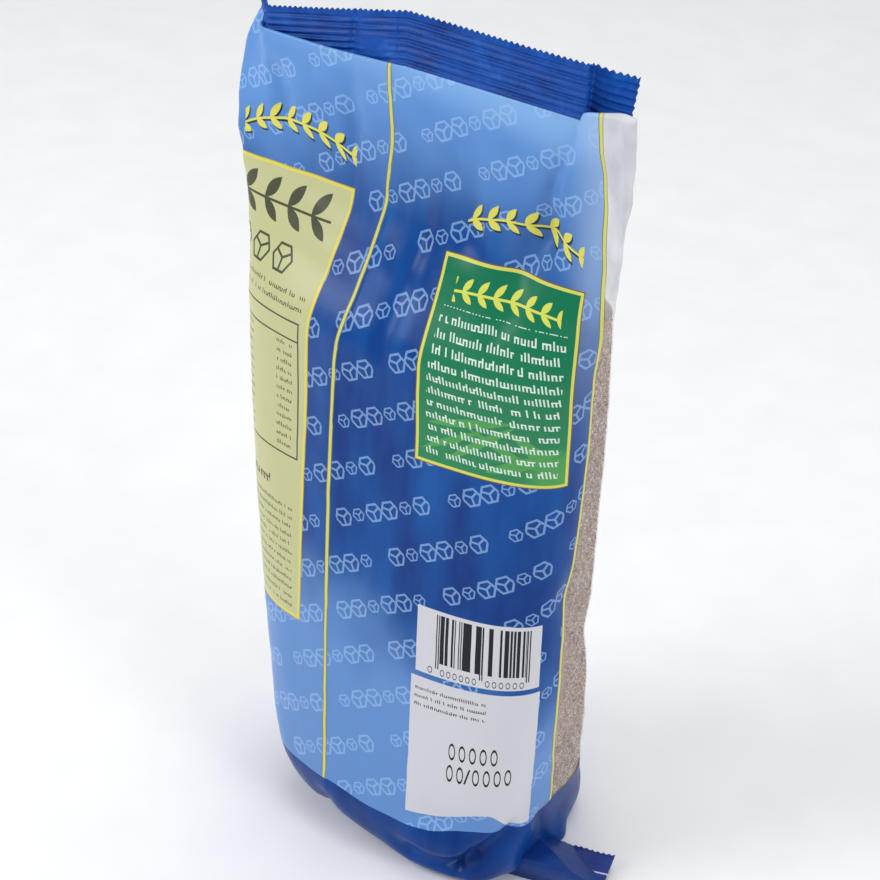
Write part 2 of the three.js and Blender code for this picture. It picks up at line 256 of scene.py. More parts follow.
def through(places, values, at):
    """Smooth curve through stations that never overshoots them."""
    places, values, at = (np.asarray(a, float) for a in (places, values, at))
    at = np.clip(at, places[0], places[-1])
    slope = np.diff(values) / np.diff(places)
    before, after = slope[:-1], slope[1:]
    total = np.where(before * after > 0, before + after, 1.0)
    inner = np.where(before * after > 0, 2 * before * after / total, 0.0)
    tangent = np.concatenate([slope[:1], inner, slope[-1:]])
    k = np.clip(np.searchsorted(places, at, side="right") - 1, 0, len(slope) - 1)
    span = places[k + 1] - places[k]
    t = (at - places[k]) / span
    t2, t3 = t * t, t * t * t
    return ((2 * t3 - 3 * t2 + 1) * values[k] + (t3 - 2 * t2 + t) * span * tangent[k]
            + (3 * t2 - 2 * t3) * values[k + 1] + (t3 - t2) * span * tangent[k + 1])


def smooth(low, high, at):
    t = np.clip((at - low) / (high - low), 0, 1)
    return t * t * (3 - 2 * t)


def hill(away, reach):
    return np.exp(-((away / reach) ** 2))


def ring(z, u):
    """Places x, y of the tube's level section at height z, for film positions u in order."""
    angle = np.pi + np.linspace(0, 2 * np.pi, OUTLINE_STEPS + 1)
    c, s = np.cos(angle), np.sin(angle)
    power = 2 / through(SECTION_Z, SECTION_POWER, z)
    depth = np.where(s < 0, through(SECTION_Z, SECTION_BACK, z), through(SECTION_Z, SECTION_FRONT, z))
    x = through(SECTION_Z, SECTION_WIDTH, z) / 2 * np.sign(c) * np.abs(c) ** power
    y = depth * np.sign(s) * np.abs(s) ** power
    run = np.concatenate([[0], np.cumsum(np.hypot(np.diff(x), np.diff(y)))])
    back_middle = run[OUTLINE_STEPS // 4]
    wanted = np.mod(back_middle + (u - HALF_ROUND / 2) * run[-1] / TUBE_ROUND, run[-1])
    return np.interp(wanted, run, x), np.interp(wanted, run, y)


class Tube:
    """The filled tube, ready to be asked for places at any height for a fixed row of film positions."""

    def __init__(self, u):
        self.u = u
        self.levels = np.arange(SECTION_Z[0], SEAL_HEIGHT + 1, 1.0)
        rows = [ring(z, u) for z in self.levels]
        self.x = np.array([row[0] for row in rows])
        self.y = np.array([row[1] for row in rows])

    def at(self, z):
        """Places x, y at the heights z, and the way into the tube there."""
        height = np.clip(z - self.levels[0], 0, len(self.levels) - 1.001)
        k = height.astype(int)
        t = height - k
        j = np.arange(len(self.u))
        x = self.x[k, j] * (1 - t) + self.x[k + 1, j] * t
        y = self.y[k, j] * (1 - t) + self.y[k + 1, j] * t
        ahead_x, ahead_y = np.roll(x, -1), np.roll(y, -1)
        behind_x, behind_y = np.roll(x, 1), np.roll(y, 1)
        along = np.hypot(ahead_x - behind_x, ahead_y - behind_y)
        along = np.maximum(along, 1e-6)
        return x, y, -(ahead_y - behind_y) / along, (ahead_x - behind_x) / along


BEND_FROM = 18.0 - HALF_ROUND / 2
BEND_ANGLE = math.radians(43)
BEND_START = 238.0
BEND_SOFT = 5.0
PLEAT_PLACE = 132.0
PLEAT_SPAN = 6.0
PLEAT_TAKE = 5.0
PLEAT_DEPTH = 2.0
TURN_START = 158.0
TOP_TURN = math.radians(-2.9)
TOP_SHIFT_Y = -2.1
SWAY_Z = (0, 128, SEAL_HEIGHT)
SWAY_X = (2.3, -0.4, 1.5)


def settle(x, y, z, pleated=0.0):
    """Bend, pleat, turn and lean of the upper part of the pouch."""
    rise = np.clip((z - BEND_START) / (SEAL_HEIGHT - BEND_START), 0, 1)
    bend = BEND_ANGLE * rise * rise * smooth(0, BEND_SOFT, BEND_FROM - x)
    dx = np.minimum(x - BEND_FROM, 0)
    left = x < BEND_FROM
    bent_x = np.where(left, BEND_FROM + dx * np.cos(bend) + y * np.sin(bend), x)
    bent_y = np.where(left, -dx * np.sin(bend) + y * np.cos(bend), y)
    crease = PLEAT_PLACE - HALF_ROUND / 2
    fold = pleated * smooth(crease, crease + PLEAT_SPAN, bent_x)
    folded_x = bent_x - PLEAT_TAKE * fold
    folded_y = bent_y + PLEAT_DEPTH * fold
    turn = TOP_TURN * np.clip((z - TURN_START) / (SEAL_HEIGHT - TURN_START), 0, 1)
    shift = TOP_SHIFT_Y * smooth(TURN_START, SEAL_HEIGHT, z)
    middle = through(SWAY_Z, SWAY_X, z)
    return (middle + np.cos(turn) * folded_x - np.sin(turn) * folded_y + SET_DOWN[0],
            shift + np.sin(turn) * folded_x + np.cos(turn) * folded_y + SET_DOWN[1])


# Grooves pressed into the film, each from one film place to another, with reach and depth; a negative
# depth is a bulge. The large ones are the solid's own, the finer ones are added here. The grooves fade out
# under the seal, which holds the film straight.
CREASES = (
    ((50, 270), (48, 246), 3.5, 1.6),
    ((132, 275), (123, 252), 3, 1.8),
    ((122, 248), (122, 236), 5, 2.6),
    ((122, 236), (114, 222), 6, 2.4),
    ((96, 246), (94, 226), 4, 1),
    ((79, 226), (74, 190), 3.5, 1),
    ((145, 112), (153, 98), 7, 1.8),
    ((166, 86), (176, 78), 9, 1.8),
    ((128, 23), (115.5, 14.4), 2.3, 3.2),
    ((115.5, 14.4), (109, 8.6), 3.0, 4.0),
    ((109, 9), (92, 10), 3.0, 3.0),
    ((92, 17), (108, 17.5), 4.5, -1.3),
    ((133, 18), (116, 4), 5.0, -2.0),
    ((100, 26), (114, 26), 6, 1.4),
    ((19, 264), (21, 250), 3.5, 1.5),
    ((53, 0), (55, 14), 4, 2.5),
    ((151, 277), (151, 268), 7, -1.9),
    ((151, 256), (151, 248), 6, -0.9),
    ((0, 273), (0, 269), 5, -1.5),
    ((300, 273), (300, 269), 5, -1.5),
    ((153, 0), (153, 2), 5.5, -4),
    ((27, 272), (22, 262), 2, 0.8),
    ((37, 273), (34, 264), 1.8, 0.5),
    ((44, 256), (47, 240), 2.5, -0.5),
    ((88, 258), (90, 248), 2.5, 0.5),
    ((104, 268), (110, 262), 3, 0.5),
    ((84, 240), (80, 214), 3, -0.6),
    ((101, 240), (103, 228), 2, -0.5),
    ((129, 262), (125, 249), 2, -1.1),
    ((140, 262), (138, 240), 3, 0.6),
    ((118, 216), (110, 204), 4, 0.8),
    ((141, 210), (140, 190), 4, 0.5),
    ((150, 118), (147, 96), 3, -0.6),
    ((158, 72), (151, 58), 3, 0.7),
    ((152, 46), (160, 40), 3, 0.5),
    ((116, 18), (92, 8), 3, -1.0),
    ((126, 12), (131, 3), 3, -0.8),
    ((140, 22), (146, 4), 3, 0.8),
    ((70, 16), (90, 12), 4, 0.5),
)
GROOVE_FADE = 16.0
LEAST_GROOVE = 0.1
SLACK_WAVES = 26
WAVES_ROUND = (2, 22)
WAVE_PITCH = (9, 46)
SLACK_LEAST = 0.045
SLACK_TOP = 0.11
SLACK_FOOT = 0.07


def grooves(u, z):
    depth = np.zeros(np.broadcast(u, z).shape)
    for (u0, z0), (u1, z1), reach, deep in CREASES:
        du, dz = u1 - u0, z1 - z0
        t = np.clip(((u - u0) * du + (z - z0) * dz) / (du * du + dz * dz), 0, 1)
        away = np.hypot(u - u0 - t * du, z - z0 - t * dz)
        pressed = deep * hill(away, reach)
        if deep > 0:
            pressed = pressed * np.clip((SEAL_HEIGHT - z) / GROOVE_FADE, LEAST_GROOVE, 1)
        depth = depth + pressed
    return depth


def slack(u, z):
    """Soft random waves, strongest where the film has no sugar behind it and at its foot."""
    dice = np.random.default_rng(7)
    wave = np.zeros(np.broadcast(u, z).shape)
    for _ in range(SLACK_WAVES):
        turns = dice.integers(*WAVES_ROUND)
        pitch = dice.uniform(*WAVE_PITCH)
        phase = dice.uniform(0, 2 * np.pi)
        wave = wave + np.sin(2 * np.pi * (turns * u / TUBE_ROUND + z / pitch) + phase) / math.sqrt(turns)
    over_sugar = SLACK_TOP * smooth(186, 225, z) * (1 - smooth(262, 275, z))
    near_foot = SLACK_FOOT * (1 - smooth(20, 70, z))
    return wave * (SLACK_LEAST + over_sugar + near_foot)


def lap(u, z):
    """How far the lap seam's upper layer stands proud."""
    away = through(SEAM_Z, SEAM_U, z) - u
    return np.where((away > 0) & (away < SEAM_WIDTH), SEAM_STEP * (1 - away / SEAM_WIDTH), 0)


DROOP_PLACE = 69.0
DROOP_FROM = 18.0
DROOP_RATE = 0.2
CREST_FORWARD = 2.6
CREST_FROM = 250.0
CREST_FULL = 5.0
RIGHT_CREST_U = (131, 133, 138, 144, 147, 150)
RIGHT_CREST_RISE = (0, 3.4, 5, 6.8, 7.6, 7)
CRIMP_HEIGHT = 18.0
TOOTH_HEIGHT = 0.9
TOOTH_PITCH = 2.0
LEAN = 0.06
PLEAT_LEAN = 0.26
DROOP_LEAN = 0.012
PLEAT_DROP = 2.2
CORNER_OUT = 2.2
CORNER_LEFT = 2.0


def droop(place):
    """How far the seal's foot sinks towards its bent left end."""
    return DROOP_RATE * (DROOP_PLACE - np.clip(place, DROOP_FROM, DROOP_PLACE))


def right_rise(place):
    """How far the film's crest climbs over the seal's foot at the right."""
    return through(RIGHT_CREST_U, RIGHT_CREST_RISE, place)


def hidden(place):
    """How much of the film's crest stands in front of the seal, from nought to one."""
    return np.minimum((droop(place) + right_rise(place)) / CREST_FULL, 1) * smooth(2, DROOP_FROM, place)


def seal_point(place, side, height, pleated, forward=0.0):
    """A place on the crimped seal: side is the way out of its middle, in millimetres, to the front."""
    sunk = PLEAT_DROP * pleated * smooth(PLEAT_PLACE, PLEAT_PLACE + 2 * PLEAT_SPAN, place)
    foot = SEAL_HEIGHT - droop(place) - sunk
    lean = LEAN + PLEAT_LEAN * smooth(PLEAT_PLACE, HALF_ROUND, place) - DROOP_LEAN * droop(place)
    right = CORNER_OUT * smooth(HALF_ROUND - PLEAT_SPAN, HALF_ROUND, place)
    left = CORNER_LEFT * (1 - smooth(0, PLEAT_SPAN, place))
    x = place - HALF_ROUND / 2 + (right - left) * (1 - pleated)
    x, y = settle(x, side - forward + np.sin(lean) * height, SEAL_HEIGHT + 0 * x, pleated)
    return x, y, foot + np.cos(lean) * height


FILM_THICKNESS = 0.26
FOOT_STEPS = 12
LOW_STEPS = 14
LEVEL_STEP = 2.2
LOW_TOP = 44.0
DRAWN_Z = (9, 20)


def film_rows(u, inset, top, drawn=0.0):
    """Rows of the tube from the floor up to height top, each as x, y, z and the print's height.

    They lie inset inside the film, and at the foot they keep back by drawn as well."""
    tube = Tube(u)
    foot = through(FOOT_U, FOOT_RADIUS, u)
    rows = []

    def wall(z, extra):
        x, y, in_x, in_y = tube.at(z)
        proud = CREST_FORWARD * hidden(np.minimum(u, HALF_ROUND)) * smooth(CREST_FROM, SEAL_HEIGHT, z)
        push = extra + inset + drawn * (1 - smooth(*DRAWN_Z, z)) - lap(u, z) + slack(u, z)
        stretch = np.clip((z - BEND_START) / (SEAL_HEIGHT - BEND_START), 0, 1)
        lift = np.where(u <= HALF_ROUND, right_rise(u), -droop(TUBE_ROUND - u))
        x, y = settle(x + in_x * push, y + in_y * push - np.where(u <= HALF_ROUND, proud, 0), z)
        rows.append((x, y, np.maximum(z, FILM_THICKNESS) + lift * stretch, z))

    for k in range(FOOT_STEPS + 1):
        angle = math.pi / 2 * (1 - k / FOOT_STEPS)
        z = foot * (1 - math.sin(angle))
        wall(z, foot * (1 - math.cos(angle)) + grooves(u, z))
    for k in range(1, LOW_STEPS + 1):
        z = foot + (LOW_TOP - foot) * k / LOW_STEPS
        wall(z, grooves(u, z))
    steps = math.ceil((top - LOW_TOP) / LEVEL_STEP)
    for k in range(1, steps + 1):
        z = np.full(len(u), LOW_TOP + (top - LOW_TOP) * k / steps)
        wall(z, grooves(u, z))
    return rows


UV_UNIT = 100.0


def grid_mesh(name, points, marks):
    """A mesh from rows of points that go round, with its corners' film places kept as UV maps."""
    rows, columns = points.shape[:2]
    k, j = np.meshgrid(np.arange(rows - 1), np.arange(columns), indexing="ij")
    k, j = k.ravel(), j.ravel()
    low, high = k * columns, (k + 1) * columns
    ahead = (j + 1) % columns
    faces = np.stack([low + j, low + ahead, high + ahead, high + j], 1)
    mesh = bpy.data.meshes.new(name)
    mesh.from_pydata((points.reshape(-1, 3) * MM).tolist(), [], faces.tolist())
    for label, (across, up) in marks.items():
        layer = mesh.uv_layers.new(name=label)
        corner_u = np.stack([across[k, j], across[k, j + 1], across[k + 1, j + 1], across[k + 1, j]], 1)
        corner_z = np.stack([up[k, j], up[k, j + 1], up[k + 1, j + 1], up[k + 1, j]], 1)
        layer.data.foreach_set("uv", np.stack([corner_u, corner_z], -1).ravel() / UV_UNIT)
    return mesh


WELD_GAP = 0.00002
LEAST_EDGE = 0.000002


def close_up(mesh):
    """Joins what meets, and fills the ends that are left open."""
    work = bmesh.new()
    work.from_mesh(mesh)
    bmesh.ops.remove_doubles(work, verts=work.verts, dist=WELD_GAP)
    bmesh.ops.dissolve_degenerate(work, edges=work.edges, dist=LEAST_EDGE)
    ends = [edge for edge in work.edges if edge.is_boundary]
    if ends:
        bmesh.ops.holes_fill(work, edges=ends)
    bmesh.ops.recalc_face_normals(work, faces=work.faces)
    work.to_mesh(mesh)
    work.free()
    for polygon in mesh.polygons:
        polygon.use_smooth = True


def put_in_scene(name, mesh):
    piece = bpy.data.objects.new(name, mesh)
    scene.collection.objects.link(piece)
    return piece


COLUMNS = 300
film_u = np.arange(COLUMNS) * TUBE_ROUND / COLUMNS
film_place = np.minimum(film_u, TUBE_ROUND - film_u)
BACK = film_u <= HALF_ROUND
BODY_TOP = SEAL_HEIGHT - 1.5
CREST_HALF = 0.8
FRONT_DRAWN = 0.85 * CORNER_OUT
body = film_rows(film_u, 0.0, BODY_TOP)
crest = []
CREST_FOLD = ((0.1, 1.0, 1.0, 1.0, 0.1), (0.5, 1.02, 0.93, 0.8, 0.15), (0.9, 0.99, 0.8, 0.6, 0.2),
              (1.0, 0.7, 0.6, 0.5, 0.4), (1.0, 0.35, 0.4, 0.3, 0.7), (1.0, 0.1, 0.1, 0.02, 1.0))
for height, rise, out, thick, pleated in CREST_FOLD:
    side = np.where(BACK, -CREST_HALF, CREST_HALF) * thick
    forward = np.where(BACK, out * CREST_FORWARD * hidden(film_place), 0)
    x, y, z = seal_point(film_place, side, height, pleated, forward)
    x = x - np.where(BACK, 0, FRONT_DRAWN) * smooth(HALF_ROUND - PLEAT_SPAN, HALF_ROUND, film_place)
    z = z + np.where(BACK, rise * (droop(film_place) + right_rise(film_place)), 0)
    crest.append((x, y, z, np.full(COLUMNS, SEAL_HEIGHT)))
FOOT_MIDDLE_X = (-48, 44)
FOOT_MIDDLE_Y = -6
under = []
for share, height in ((0.75, 0.5), (0.4, 0.9), (0.12, 1.0), (0.0, 1.0)):
    x, y, z, mark = body[0]
    middle_x = np.clip(x, *FOOT_MIDDLE_X)
    inward_y = FOOT_MIDDLE_Y + (y - FOOT_MIDDLE_Y) * share
    under.append((middle_x + (x - middle_x) * share, inward_y, z + height, mark))
film_grid = [*reversed(under), *body, *crest]
points = np.array([[row[0], row[1], row[2]] for row in film_grid]).transpose(0, 2, 1)
print_z = np.array([np.append(row[3], row[3][0]) for row in film_grid])
print_u = np.tile(np.append(film_u, TUBE_ROUND), (len(film_grid), 1))
BAND_U = (0, 37, 59, 78, 90, 98, 110, 122, 130, 141, 149, 171, 200, 250, 300)
BAND_Z = (26, 26, 25, 22, 21.6, 21.6, 23.4, 23.4, 22.6, 23.4, 24.7, 21.5, 22, 22, 26)
WINDOW_Z = (0, 30, 55, 88, 122, 171, 217, 275)
WINDOW_U = (147, 147, 144.5, 144, 146, 147, 145, 140.7)
film_mesh = grid_mesh("film", points, {
    "film": (print_u, print_z),
    "edges": (print_u - through(SEAM_Z, SEAM_U, print_z), print_z - through(BAND_U, BAND_Z, print_u)),
    "window": (print_u - through(WINDOW_Z, WINDOW_U, print_z), print_u),
})
close_up(film_mesh)
film = put_in_scene("film", film_mesh)
skin = film.modifiers.new("thickness", "SOLIDIFY")
skin.thickness = FILM_THICKNESS * MM
skin.offset = -1
skin.use_rim = False
skin.material_offset = 1

# The film's print: a sky of blues with a pattern of pale sugar cubes, yellow lines at the lap seam and along
# the clear strip, a cream panel, a green one and two white ones on the back, and an oval on the front. It is
# ink on the inner side of the film, so it's as smooth as the film itself. Some painted light lies in it too:
# a highlight under the seal, a sheen beside the clear strip and a faint sheen over the lap.
PALE = ink(160, 196, 240)
YELLOW = ink(222, 216, 96)
OLIVE = ink(118, 120, 44)
WHITE = ink(208, 208, 214)
PRINT_BLACK = ink(28, 30, 40)
WINDOW_WIDTH = 41.0
COUNT_BACK_FROM = 200.0
FILM_GLOSS = {"IOR": 1.5, "Specular_IOR_Level": 0.17, "Coat_Weight": 0.04, "Coat_Roughness": 0.16}
film_print, film_shader, start = fresh_material("printed film", **FILM_GLOSS)
film_map = start.chart("film")
u, z = (part * UV_UNIT for part in film_map.parts())
u = u - (u > COUNT_BACK_FROM) * TUBE_ROUND
seam_gap, over_band = (part * UV_UNIT for part in start.chart("edges").parts())
window_u = start.chart("window").parts()[0] * UV_UNIT


def band(value, low, high):
    """One between two values, nought beyond them."""
    return value.maths("COMPARE", value, (low + high) / 2, (high - low) / 2)


def box(left, right, low, high):
    return band(u, left, right) * band(z, low, high)


def leaf(across, up, turn, length, half):
    """A pointed leaf that starts at nought and lies turned by so many degrees."""
    c, s = math.cos(math.radians(turn)), math.sin(math.radians(turn))
    far = (across * c + up * s) / length - 0.5
    return (far * far * (4 * half) + abs(up * c - across * s)) < half


def cube(x, y, size, line):
    """Outline of a sugar cube seen from a corner: a hexagon and three edges that meet in its middle."""
    aside = abs(x)
    reach = (aside * 0.866 + abs(y) * 0.5).most(abs(y))
    upright = band(x, -line, line) * band(y, -size, 0)
    slope = band(aside * 0.866 + y * 0.5, 0, size) * band(y * 0.866 - aside * 0.5, -line, line)
    return band(reach, size - 2 * line, size).most(upright).most(slope)


CUBE_STEP = 6.4
CUBE_ROW = 15.5
CUBE_TILT = 0.5
CUBE_SLANT = 0.89
CUBE_SIZE = 3.1
CUBE_LINE = 0.36
CUBE_SHRINK = 0.45
ROW_SHIFT = 2.4


def cubes():
    """Rows of cubes that climb to the right, every third one small and every seventh left out."""
    across = (u + z * CUBE_TILT) * CUBE_SLANT
    up = (z - u * CUBE_TILT) * CUBE_SLANT
    row = (up / CUBE_ROW).floor()
    shifted = across / CUBE_STEP + row * ROW_SHIFT
    kind = shifted.floor()
    scale = 1 + ((kind % 3) < 0.5) * CUBE_SHRINK
    x = (shifted % 1 - 0.5) * scale * CUBE_STEP
    y = (up % CUBE_ROW - CUBE_ROW / 2) * scale
    return cube(x, y, CUBE_SIZE, CUBE_LINE) * ((kind % 7) > 0.5)


def small_print(low, pitch, height, letter, seed=0.0):
    """Lines of short dashes, some tall and some joined, that stand for print and mean nothing."""
    up = (z - low) % pitch
    along = (u + z * 0.2) / letter
    dice = (along.floor() + ((z - low) / pitch).floor() * 17.3 + seed).chance()
    dash = ((along % 1) < 0.45) * (up < ((dice > 0.75) * (height * 0.32) + height * 0.68))
    joined = band(dice, 0.4, 0.6) * band(up, height * 0.5, height * 0.68)
    footed = band(dice, 0.6, 0.75) * band(up, 0, height * 0.18)
    return dash.most(joined).most(footed) * (dice > 0.13)


def garland(left, right, low, sag, size, lowered=0.0):
    """A hanging arc of leaves on a stem, for the place of a title."""
    off = (u - (left + right) / 2) / ((right - left) / 2)
    up = z - (low - lowered) + off * off * sag
    step = (u - lowered * 0.7) % size - size * 0.3
    leaves = leaf(step, up, 52, size * 0.95, size * 0.19).most(leaf(step, up, -38, size * 0.9, size * 0.17))
    behind = leaf(step - size, up, 52, size * 0.95, size * 0.19)
    return leaves.most(behind).most(band(up, -0.4, 0.4)) * band(u, left, right)


# The ground: deep blue in the middle, paling to the top and, more at the left, to the foot. Over it lie a
# painted highlight just under the seal and a painted sheen beside the clear strip.
cloud = film_map.noise(film_map.stretched(3.3, 2.5), 1.0, 2.0)
streak = film_map.noise(film_map.stretched(9.0, 2.2), 1.0, 3.0)
paint = streak.mottled(ink(0, 50, 124), ink(8, 82, 158))
low_light = (z + (u - 80) * 0.45 + (cloud - 0.5) * 50).ramp(112, 64)
high_light = (z + abs(u - 78) * 0.22 + (cloud - 0.5) * 36).ramp(220, 276)
paint = low_light.over(paint, ink(98, 142, 202))
paint = high_light.over(paint, ink(96, 148, 214))
# A painted highlight: a bright rim along the top of the film, just under the seal.
paint = ((z + (u - 80) * 0.12).ramp(264, 280) * 0.6).over(paint, ink(146, 192, 240))
# A painted sheen: a pale strip down the film beside the clear strip, from the middle up.
paint = (u.ramp(128, 141) * z.ramp(150, 250) * 0.5).over(paint, ink(172, 196, 230))
paint = (cubes() * 0.5).over(paint, PALE)
paint = garland(4, 50, 247, 6, 6.6, 0.7).most(garland(93, 136, 237, 5, 6.6, 0.7)).over(paint, ink(36, 50, 60))
paint = garland(4, 50, 247, 6, 6.6).most(garland(93, 136, 237, 5, 6.6)).over(paint, YELLOW)

FRAME_EDGES = (0, 0.3, 1.3)


def framed(under, across, left, right, low, high, colours):
    """A panel with a thin outer line and a frame, its colours given from the outside in."""
    for border, colour in zip(FRAME_EDGES, colours):
        field = band(across, left + border, right - border) * band(z, low + border, high - border)
        under = field.over(under, colour)
    return under


# The cream panel with a heading, a ruled table and small print.
CREAM_INK = ink(78, 80, 60)
panel_edge = u - 45 - z.ramp(200, 231) * 1.6 - (z - 80.5) * 0.02
cream_colours = (ink(190, 158, 62), ink(222, 212, 92), ink(196, 196, 146))
paint = framed(paint, panel_edge, -59, 0, 80.5, 231, cream_colours)
words = garland(-8, 43, 219, 0, 10.5)
for middle in (6, 17, 28):
    words = words.most(cube(u - middle, z - 204.5, 4.2, 0.4))
words = words.most(small_print(192.5, 3.4, 1.5, 0.9) * box(-10, 43, 192, 198))
ruled = small_print(143, 3.3, 1.5, 0.85, 3) * band(z, 143, 181.5) * (1 - band(u, 20, 33)) * band(u, -8, 40)
words = words.most(ruled).most(small_print(84, 3.3, 1.4, 0.8, 5) * box(-10, 41, 84, 122))
words = words.most(small_print(126, 8.0, 3.6, 1.9, 8) * box(4, 30, 125, 133))
rules = box(-10, 43, 140, 189) * (1 - box(-9.4, 42.4, 182.6, 188.4)) * (1 - box(-9.4, 42.4, 140.6, 182))
paint = words.most(rules).over(paint, CREAM_INK)

# The green panel with pale words and cane leaves at its foot.
green = z.ramp(158, 222).over(ink(46, 132, 86), ink(14, 116, 80))
paint = framed(paint, u, 87.7, 138.3, 157.2, 222.3, (ink(120, 84, 40), ink(212, 212, 100), green))
CANE_LEAVES = ((92, 172, 14, 30, 1.5), (98, 160, 38, 30, 1.4), (112, 160, 24, 26, 2.0),
               (90, 162, 30, 24, 1.2), (120, 176, -40, 22, 2.2), (106, 174, -24, 26, 1.2))
blades = u.ramp(122, 132) * z.ramp(173, 166)
for across, low, turn, length, half in CANE_LEAVES:
    blades = blades.most(leaf(u - across, z - low, turn, length, half))
paint = (blades * box(89, 137, 158.5, 182) * 0.7).over(paint, ink(92, 168, 84))
paint = (small_print(161, 4.25, 2.5, 1.15, 9) * box(91.5, 134.5, 161, 208)).over(paint, ink(214, 232, 220))
paint = garland(94, 132, 213.5, 1.2, 5.6).over(paint, ink(214, 220, 96))

# The white panels: bars above, the place of the dates below.
paint = box(92, 134, 81.5, 106).over(paint, WHITE)
BAR_STEP = 0.36
BARS_TOP = 104.6
GUARD_PLACES = (99.1, 99.9, 114.3, 115.1, 129.3, 130.1)
GUARD_WIDTH = 0.4
bars = (((u - GUARD_PLACES[0]) / BAR_STEP).floor() + 0.5).chance() > 0.47
bars = bars * box(100.4, 129.2, 86.6, BARS_TOP)
for left in GUARD_PLACES:
    bars = bars.most(box(left, left + GUARD_WIDTH, 84.4, BARS_TOP))
paint = bars.over(paint, PRINT_BLACK)
panel_foot = u.ramp(97, 117) * 3.6 - u.ramp(119, 129) * 6.5
paint = (band(u, 90.5, 134.5) * band(z - panel_foot, 26.8, 90) * (z < 79.5)).over(paint, WHITE)
paint = (small_print(68.6, 3.0, 1.3, 0.75, 15) * box(92, 117, 68.5, 77)).over(paint, PRINT_BLACK)


def noughts(left, count, low, wide, high):
    """A row of plain noughts, as a date printer leaves them before it is set."""
    step = ((u - left) % wide - wide / 2) / (wide * 0.33)
    up = (z - low - high / 2) / (high * 0.5)
    return band(step * step + up * up, 0.5, 1.0) * band(u, left, left + count * wide)


NOUGHT_ROWS = ((104.5, 5, 51.5, 3.5, 6.6), (104, 2, 43, 3.5, 6.6), (112.8, 4, 43, 3.5, 6.6),
               (96, 1, 82.2, 2.6, 2.5), (100.6, 6, 82.2, 2.2, 2.5), (116, 6, 82.2, 2.2, 2.5))
stamp = band(u - z * 0.27, 98.9, 99.5) * band(z, 43.2, 49.2)
for row in NOUGHT_ROWS:
    stamp = stamp.most(noughts(*row))
paint = stamp.over(paint, PRINT_BLACK)

# The front: one large cream oval with three cubes on a green field, framed in yellow.
OVAL_U = -61
oval_across = (u - OVAL_U) / 36
oval_up = (z - 150) / 62
oval = oval_across * oval_across + oval_up * oval_up
paint = (oval < 1.0).over(paint, YELLOW)
paint = (oval < 0.93).over(paint, ink(22, 120, 80))
paint = (oval < 0.6).over(paint, ink(214, 212, 170))
heap = cube(u - OVAL_U, z - 166, 11, 0.7)
for aside in (-13, 13):
    heap = heap.most(cube(u - OVAL_U - aside, z - 142, 11, 0.7))
paint = (heap * (oval < 0.58)).over(paint, ink(120, 84, 48))

# The dark foot and the yellow lines.
LINE_YELLOW = ink(212, 208, 118)
OUTER_EDGE = (-1.4, 0.2)
LINE_EDGE = (-1.1, 0.0)


def strip_edges(low, high):
    """A line along each edge of the clear strip, from low to high millimetres past the edge."""
    return band(window_u, low, high).most(band(window_u, WINDOW_WIDTH - high, WINDOW_WIDTH - low))


def dark_foot(under):
    return (over_band < 0).over(under, streak.mottled(ink(4, 46, 114), ink(16, 68, 144)))


def finish_film(shader, colour):
    """The colour, the gloss and the small crinkles of the film."""
    wire(shader, "Base Color", colour)
    fine = film_map.noise(film_map.stretched(33.0, 33.0), 1.0, 2.0)
    wire(shader, "Roughness", fine * 0.16 + 0.24)
    crinkle = film_map.noise(film_map.stretched(11.0, 8.0), 1.0, 3.0, 0.45)
    wire(shader, "Normal", bump(start, crinkle + fine * 0.05, 0.0006, 0.4))


def inside_of_film(name, **constants):
    material, shader, start = fresh_material(name, Roughness=0.45, **constants)
    shade = start.noise(start.place(), 60.0, 3.0)
    wire(shader, "Base Color", shade.mottled(ink(222, 224, 230), ink(236, 237, 240)))
    return material


paint = strip_edges(*OUTER_EDGE).most(band(seam_gap, -1.35, 0.1)).over(paint, OLIVE)
paint = strip_edges(*LINE_EDGE).most(band(seam_gap, -1.1, -0.15)).over(paint, LINE_YELLOW)
paint = dark_foot(paint)
# A faint painted sheen: a pale haze over the lap seam's upper layer.
paint = (band(seam_gap, -SEAM_WIDTH, -0.2) * 0.03).over(paint, ink(170, 180, 220))
finish_film(film_shader, paint)
film_mesh.materials.append(film_print)
film_mesh.materials.append(inside_of_film("film inside"))

# The clear strip of the film, from the back round the right side to the front: the same sheet without ink,
# a little milky, and more so over the sugar, where nothing lies against it. Its faces end in the middle of
# the yellow lines, which both materials draw.
SEEN_THROUGH = 0.82
HEAD_ROOM_MILK = 0.64
HEAD_ROOM_Z = (216, 242)
strip_film, strip_shader, start = fresh_material("clear strip", **FILM_GLOSS)
film_map = start.chart("film")
z = film_map.parts()[1] * UV_UNIT
over_band = start.chart("edges").parts()[1] * UV_UNIT
window_u = start.chart("window").parts()[0] * UV_UNIT
streak = film_map.noise(film_map.stretched(9.0, 2.2), 1.0, 3.0)
haze = film_map.noise(film_map.stretched(12.0, 7.0), 1.0, 3.0)
paint = haze.mottled(ink(240, 243, 248), ink(204, 206, 212))
paint = strip_edges(*OUTER_EDGE).over(paint, OLIVE)
paint = strip_edges(*LINE_EDGE).over(paint, LINE_YELLOW)
finish_film(strip_shader, dark_foot(paint))
clear = band(window_u, 0, WINDOW_WIDTH) * (over_band > 0)
head_room = (z + haze * 14).ramp(*HEAD_ROOM_Z)
wire(strip_shader, "Alpha", 1 - clear * (SEEN_THROUGH - head_room * HEAD_ROOM_MILK))
film_mesh.materials.append(strip_film)
film_mesh.materials.append(inside_of_film("clear strip inside", Alpha=0.06))


